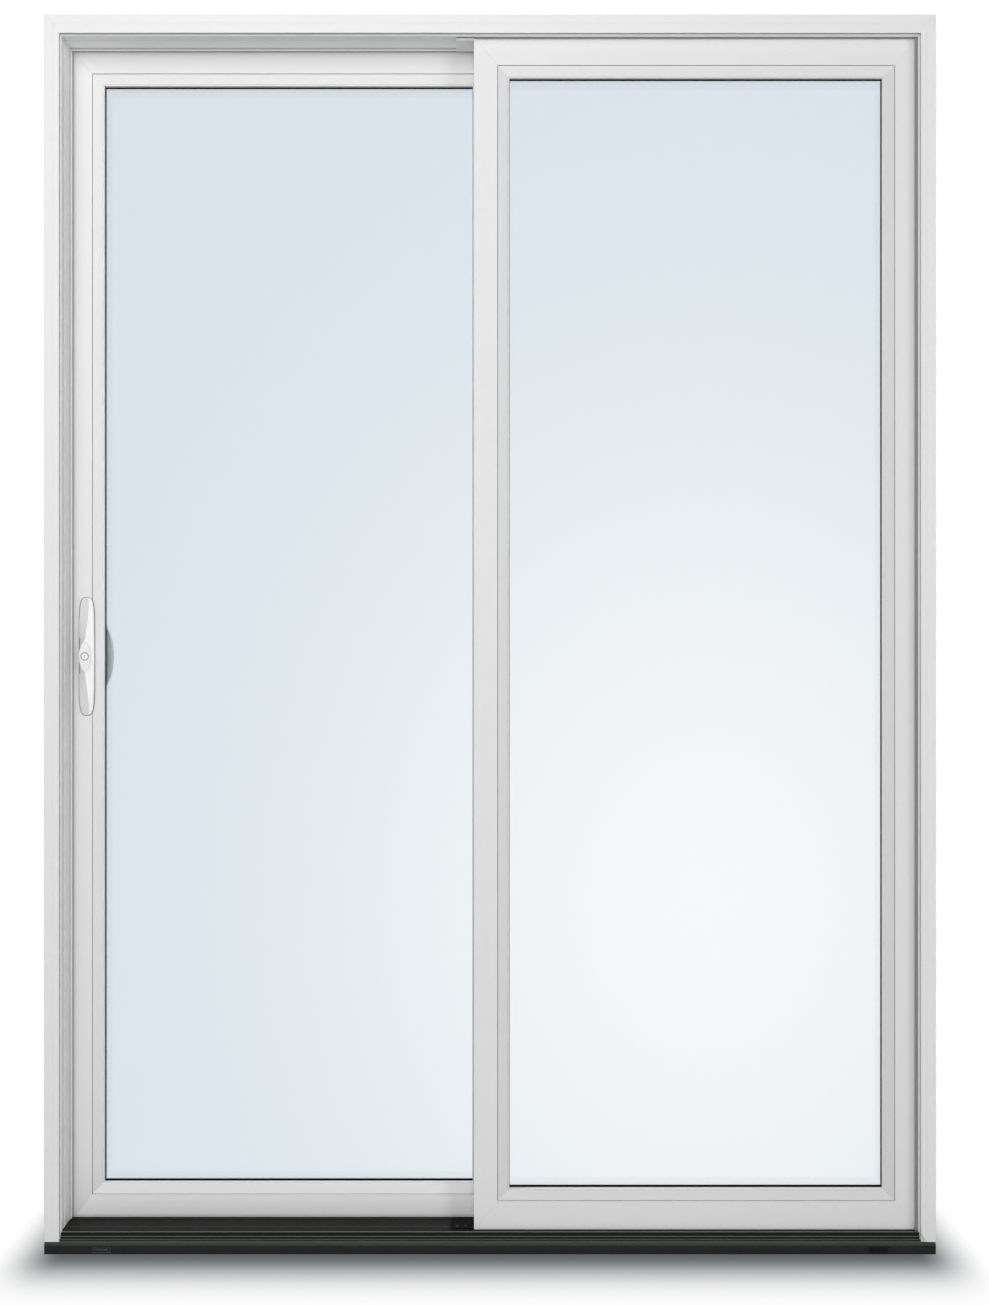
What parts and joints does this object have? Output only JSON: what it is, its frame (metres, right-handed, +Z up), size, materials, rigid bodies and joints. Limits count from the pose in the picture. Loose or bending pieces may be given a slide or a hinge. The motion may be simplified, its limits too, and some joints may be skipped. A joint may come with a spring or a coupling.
{
  "type": "sliding patio door",
  "caption": "White sliding patio door: a fixed glazed panel and a gliding one on rollers in a mitred frame over a dark stepped sill, with a slim outer pull and an inner bow handle.",
  "frame": {"origin": "middle of the sill's underside, half way along the width and through the frame's depth", "axes": "+X right as seen from outside, +Y from outside to inside through the frame, +Z up"},
  "size_m": [1.505, 0.1654, 2.092],
  "materials": {
    "frame_vinyl": "satin white vinyl with a faint fine grain",
    "panel_vinyl": "satin white vinyl with a faint fine grain",
    "bead_vinyl": "smooth satin white vinyl",
    "glass": "clear float glass with a pale blue cast",
    "spacer_bar": "dark warm-edge spacer",
    "gasket_rubber": "black glazing rubber",
    "sill_metal": "dark charcoal baked finish",
    "weep_plastic": "charcoal moulded plastic",
    "seal_plastic": "white moulded seal",
    "track_metal": "mill finish",
    "roller_nylon": "grey nylon wheel",
    "handle_white": "white powder coat, satin",
    "inner_white": "white powder coat, satin",
    "cylinder_metal": "white coated lock cylinder",
    "lock_steel": "brushed"
  },
  "bodies": {
    "frame": {"head_jamb": "frame_vinyl", "head_outer_stop": "frame_vinyl", "head_inner_stop": "frame_vinyl", "left_jamb": "frame_vinyl", "left_outer_stop": "frame_vinyl", "left_inner_stop": "frame_vinyl", "right_jamb": "frame_vinyl", "right_outer_stop": "frame_vinyl", "right_inner_stop": "frame_vinyl", "fixed_left_stile": "panel_vinyl", "fixed_right_stile": "panel_vinyl", "fixed_top_rail": "panel_vinyl", "fixed_bottom_rail": "panel_vinyl", "fixed_top_bead": "bead_vinyl", "fixed_bottom_bead": "bead_vinyl", "fixed_left_bead": "bead_vinyl", "fixed_right_bead": "bead_vinyl", "fixed_outer_glass": "glass", "fixed_inner_glass": "glass", "fixed_spacer": "spacer_bar", "fixed_gasket": "gasket_rubber", "sill_seal_block": "gasket_rubber", "sill": "sill_metal", "track_pan": "sill_metal", "threshold": "sill_metal", "inner_sill_leg": "sill_metal", "left_weep_cover": "weep_plastic", "right_weep_cover": "weep_plastic", "head_seal_block": "seal_plastic", "roller_track": "track_metal", "strike_plate": "lock_steel"},
    "gliding_panel": {"gliding_left_stile": "panel_vinyl", "gliding_right_stile": "panel_vinyl", "gliding_top_rail": "panel_vinyl", "gliding_bottom_rail": "panel_vinyl", "gliding_top_bead": "bead_vinyl", "gliding_bottom_bead": "bead_vinyl", "gliding_left_bead": "bead_vinyl", "gliding_right_bead": "bead_vinyl", "gliding_outer_glass": "glass", "gliding_inner_glass": "glass", "gliding_spacer": "spacer_bar", "gliding_gasket": "gasket_rubber", "left_roller": "roller_nylon", "right_roller": "roller_nylon", "outer_handle": "handle_white", "inner_escutcheon": "inner_white", "inner_pull": "inner_white", "key_cylinder": "cylinder_metal", "lock_faceplate": "lock_steel"},
    "lock_spindle": {"key_plug": "cylinder_metal", "thumb_turn": "inner_white"}
  },
  "joints": [
    {"name": "panel_slide", "type": "slide", "parent": "frame", "child": "gliding_panel", "axis": [1, 0, 0], "range_m": [0, 0.64]},
    {"name": "lock_turn", "type": "hinge", "parent": "gliding_panel", "child": "lock_spindle", "pos_m": [-0.701, 0, 1.009], "axis": [0, 1, 0], "range_deg": [0, 90]}
  ]
}
